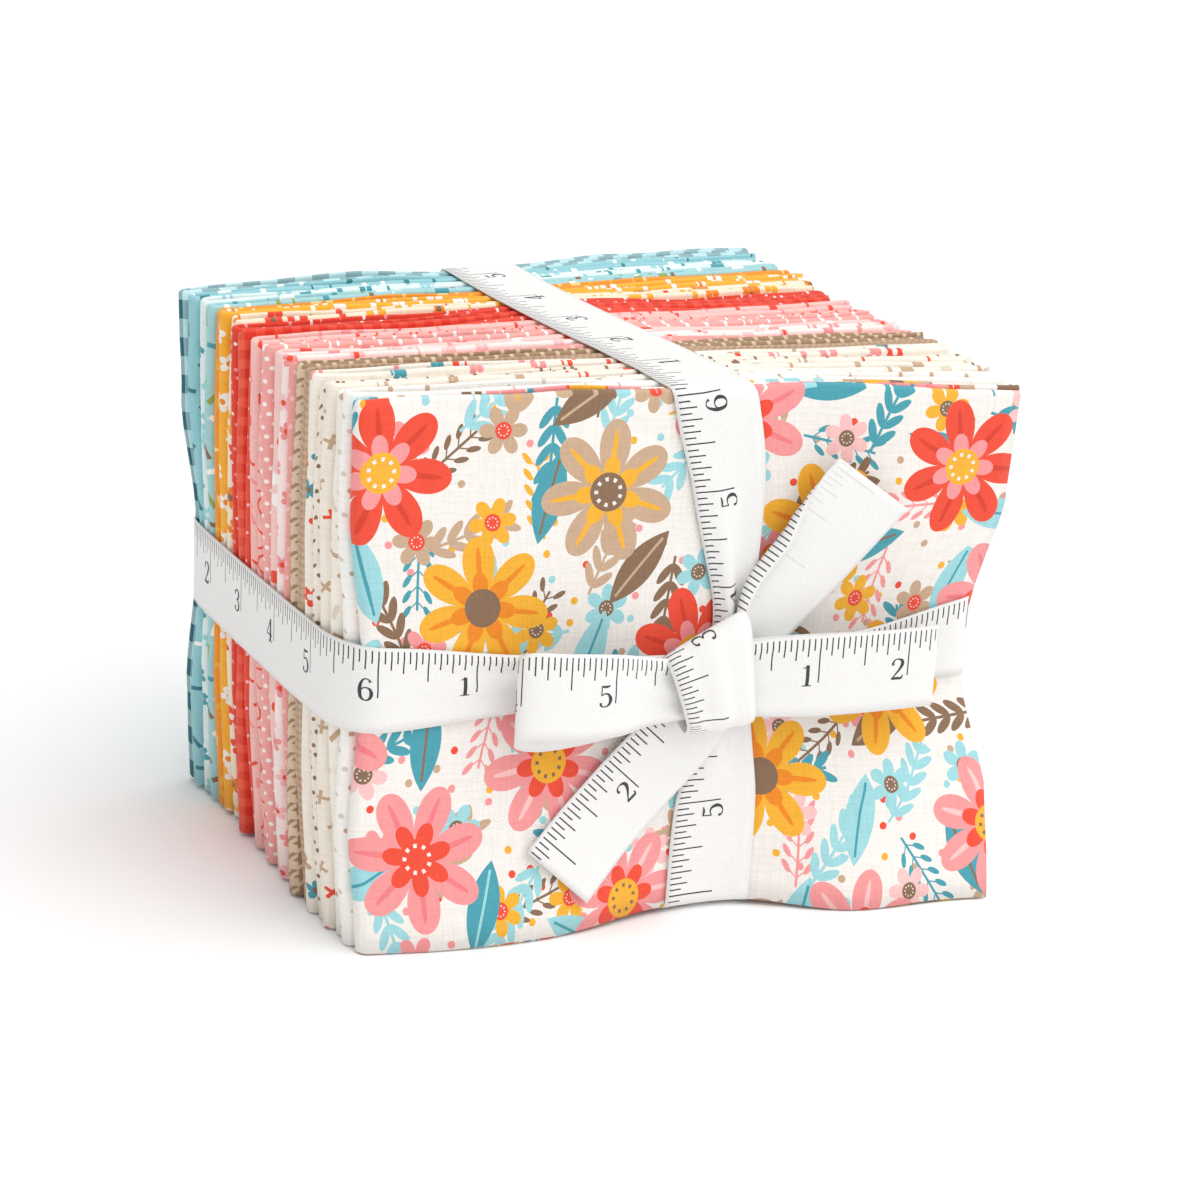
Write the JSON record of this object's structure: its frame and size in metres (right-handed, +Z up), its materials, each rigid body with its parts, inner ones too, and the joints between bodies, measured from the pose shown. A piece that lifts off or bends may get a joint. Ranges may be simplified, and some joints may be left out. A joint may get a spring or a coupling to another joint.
{
  "type": "fat quarter bundle",
  "caption": "Stack of cotton fat quarters, each folded in layers, standing on edge and tied both ways with a printed ribbon in a bow at the front.",
  "frame": {"origin": "centre of the bottom of the bundle's box, on the surface it stands on", "axes": "+Z up, -Y the front with the bow, -X the folded ends, +X the loose ends"},
  "size_m": [0.187, 0.1712, 0.141],
  "materials": {
    "cotton_floral": "printed quilting cotton, large flowers on cream, matte",
    "cotton_cream": "printed quilting cotton, small motifs on cream, matte",
    "cotton_brown": "printed quilting cotton, small brown checks, matte",
    "cotton_pink": "printed quilting cotton, small motifs on pink, matte",
    "cotton_red": "printed quilting cotton, small motifs on red, matte",
    "cotton_yellow": "printed quilting cotton, small motifs on yellow and orange, matte",
    "cotton_blue": "printed quilting cotton, small motifs on pale blue and teal, matte",
    "cotton_ribbon": "white woven cotton tape, printed with dark measuring marks, matte"
  },
  "bodies": {
    "root": {"fat_quarter_01": "cotton_floral", "fat_quarter_02": "cotton_cream", "fat_quarter_03": "cotton_cream", "fat_quarter_04": "cotton_cream", "fat_quarter_05": "cotton_cream", "fat_quarter_06": "cotton_cream", "fat_quarter_07": "cotton_brown", "fat_quarter_08": "cotton_brown", "fat_quarter_09": "cotton_pink", "fat_quarter_10": "cotton_pink", "fat_quarter_11": "cotton_pink", "fat_quarter_12": "cotton_pink", "fat_quarter_13": "cotton_pink", "fat_quarter_14": "cotton_pink", "fat_quarter_15": "cotton_red", "fat_quarter_16": "cotton_red", "fat_quarter_17": "cotton_red", "fat_quarter_18": "cotton_yellow", "fat_quarter_19": "cotton_yellow", "fat_quarter_20": "cotton_yellow", "fat_quarter_21": "cotton_blue", "fat_quarter_22": "cotton_blue", "fat_quarter_23": "cotton_blue", "fat_quarter_24": "cotton_blue", "ribbon_band_upright": "cotton_ribbon", "ribbon_band_level": "cotton_ribbon", "bow_loop_left": "cotton_ribbon", "bow_loop_right": "cotton_ribbon", "bow_knot": "cotton_ribbon", "bow_tail_up": "cotton_ribbon", "bow_tail_down": "cotton_ribbon"}
  },
  "joints": []
}
